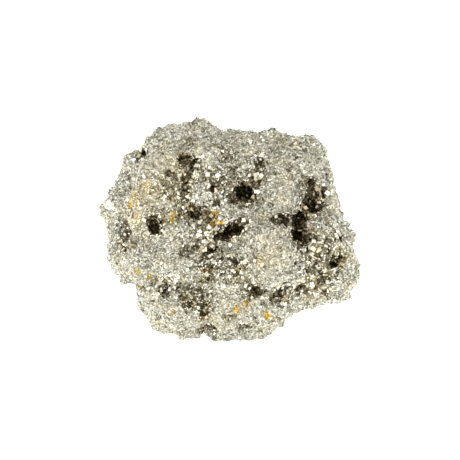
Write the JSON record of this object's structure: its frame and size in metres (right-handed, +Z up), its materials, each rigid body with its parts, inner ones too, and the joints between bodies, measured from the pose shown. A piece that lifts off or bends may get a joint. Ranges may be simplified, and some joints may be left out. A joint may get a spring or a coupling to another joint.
{
  "type": "raw pyrite nugget",
  "caption": "Raw pyrite nugget: a rounded, cauliflower-like lump with a sparkling crust of small crystals, deep clefts and holes, resting on a small flat spot.",
  "frame": {"origin": "middle of the nugget's box, on the surface that it rests on", "axes": "+Z up from the flat spot, +X along the nugget's width, to the right as seen from the front, -Y towards the front"},
  "size_m": [0.0544, 0.0422, 0.0435],
  "materials": {
    "pyrite": "pale silvery brass-yellow crystal crust with a metallic sparkle, dark brown-black in its holes, a few ochre iron stains"
  },
  "bodies": {
    "root": {"pyrite_nugget": "pyrite"}
  },
  "joints": []
}
